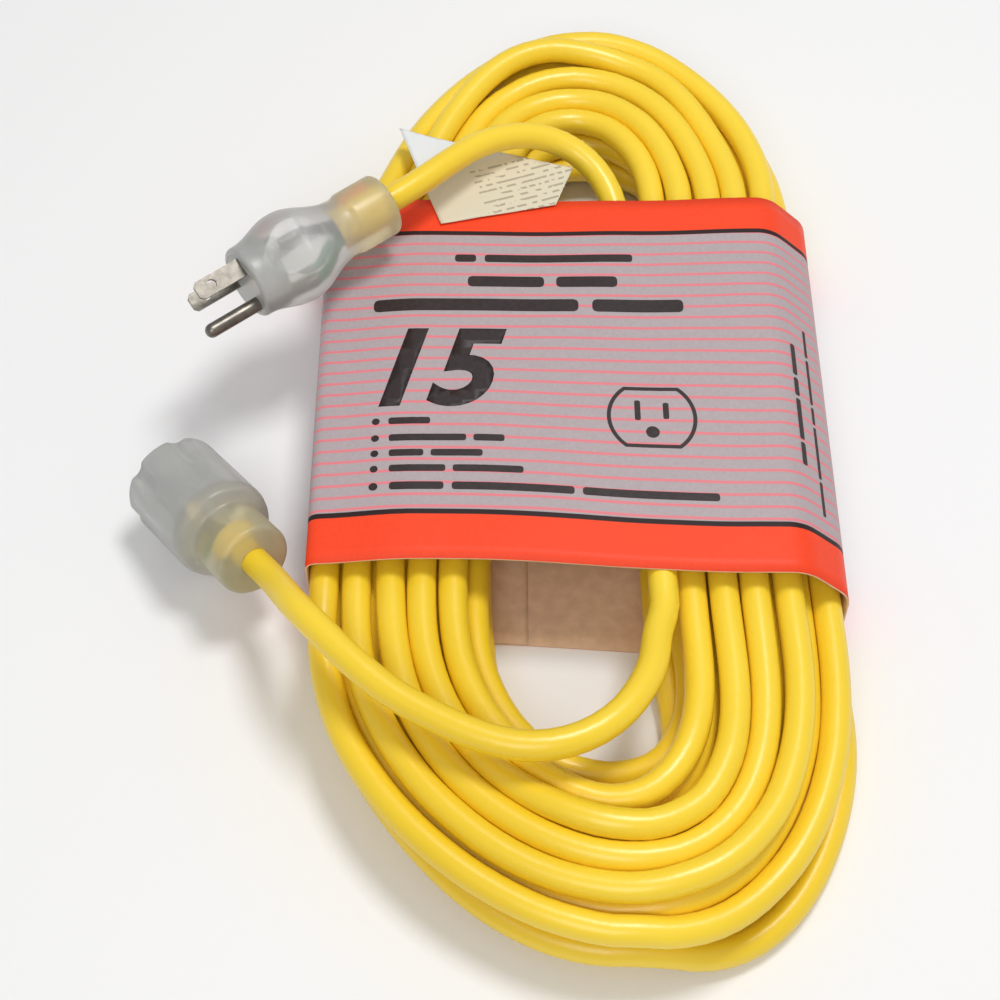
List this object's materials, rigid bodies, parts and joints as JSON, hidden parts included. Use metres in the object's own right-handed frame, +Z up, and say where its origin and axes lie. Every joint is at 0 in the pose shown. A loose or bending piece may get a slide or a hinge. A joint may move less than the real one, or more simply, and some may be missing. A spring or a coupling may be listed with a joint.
{
  "type": "extension cord",
  "caption": "Grounded three-wire extension cord wound as an oval hank in a card sleeve, with a clear moulded plug and a clear lamp-lit connector on free leads.",
  "frame": {"origin": "on the table under the middle of the card sleeve's opening", "axes": "+X right across the hank, +Y along the hank towards the plug's end, +Z up from the table"},
  "size_m": [0.2307, 0.3633, 0.0728],
  "materials": {
    "jacket": "satin",
    "clear_moulding": "gloss",
    "insert": "satin",
    "plated_brass": "satin",
    "contact_brass": "satin",
    "copper": "satin",
    "black_insulation": "satin",
    "white_insulation": "satin",
    "green_insulation": "satin",
    "card": "matte",
    "glue": "matte",
    "label": "matte",
    "lamp_glass": "gloss",
    "resistor_body": "matte",
    "tinned_wire": "satin"
  },
  "bodies": {
    "hank": {"cord_hank": "jacket", "plug_lead": "jacket", "connector_lead": "jacket", "cord_label": "label"},
    "sleeve": {"card_sleeve": "card", "sleeve_glue": "glue"},
    "plug": {"plug_body": "clear_moulding", "plug_bridge": "insert", "plug_line_blade": "plated_brass", "plug_neutral_blade": "plated_brass", "plug_ground_pin": "plated_brass", "plug_line_wire": "black_insulation", "plug_neutral_wire": "white_insulation", "plug_ground_wire": "green_insulation", "plug_wire_cores": "copper", "plug_jacket_end": "jacket"},
    "connector": {"connector_body": "clear_moulding", "contact_carrier": "insert", "line_contact": "contact_brass", "neutral_contact": "contact_brass", "ground_contact": "contact_brass", "connector_line_wire": "black_insulation", "connector_neutral_wire": "white_insulation", "connector_ground_wire": "green_insulation", "connector_wire_cores": "copper", "connector_jacket_end": "jacket", "neon_lamp": "lamp_glass", "lamp_resistor": "resistor_body", "lamp_leads": "tinned_wire"}
  },
  "joints": [
    {"name": "sleeve_slide", "type": "slide", "parent": "hank", "child": "sleeve", "axis": [0, 1, 0], "range_m": [-0.005, 0.008]},
    {"name": "plug_twist", "type": "hinge", "parent": "hank", "child": "plug", "pos_m": [-0.0638, 0.0588, 0.057], "axis": [-0.7771, -0.6293, 0], "range_deg": [-20, 20], "stiffness_Nm_per_rad": 0.08},
    {"name": "connector_twist", "type": "hinge", "parent": "hank", "child": "connector", "pos_m": [-0.1011, -0.0686, 0.03076], "axis": [-0.5852, 0.7626, -0.2756], "range_deg": [-25, 25], "stiffness_Nm_per_rad": 0.08}
  ]
}
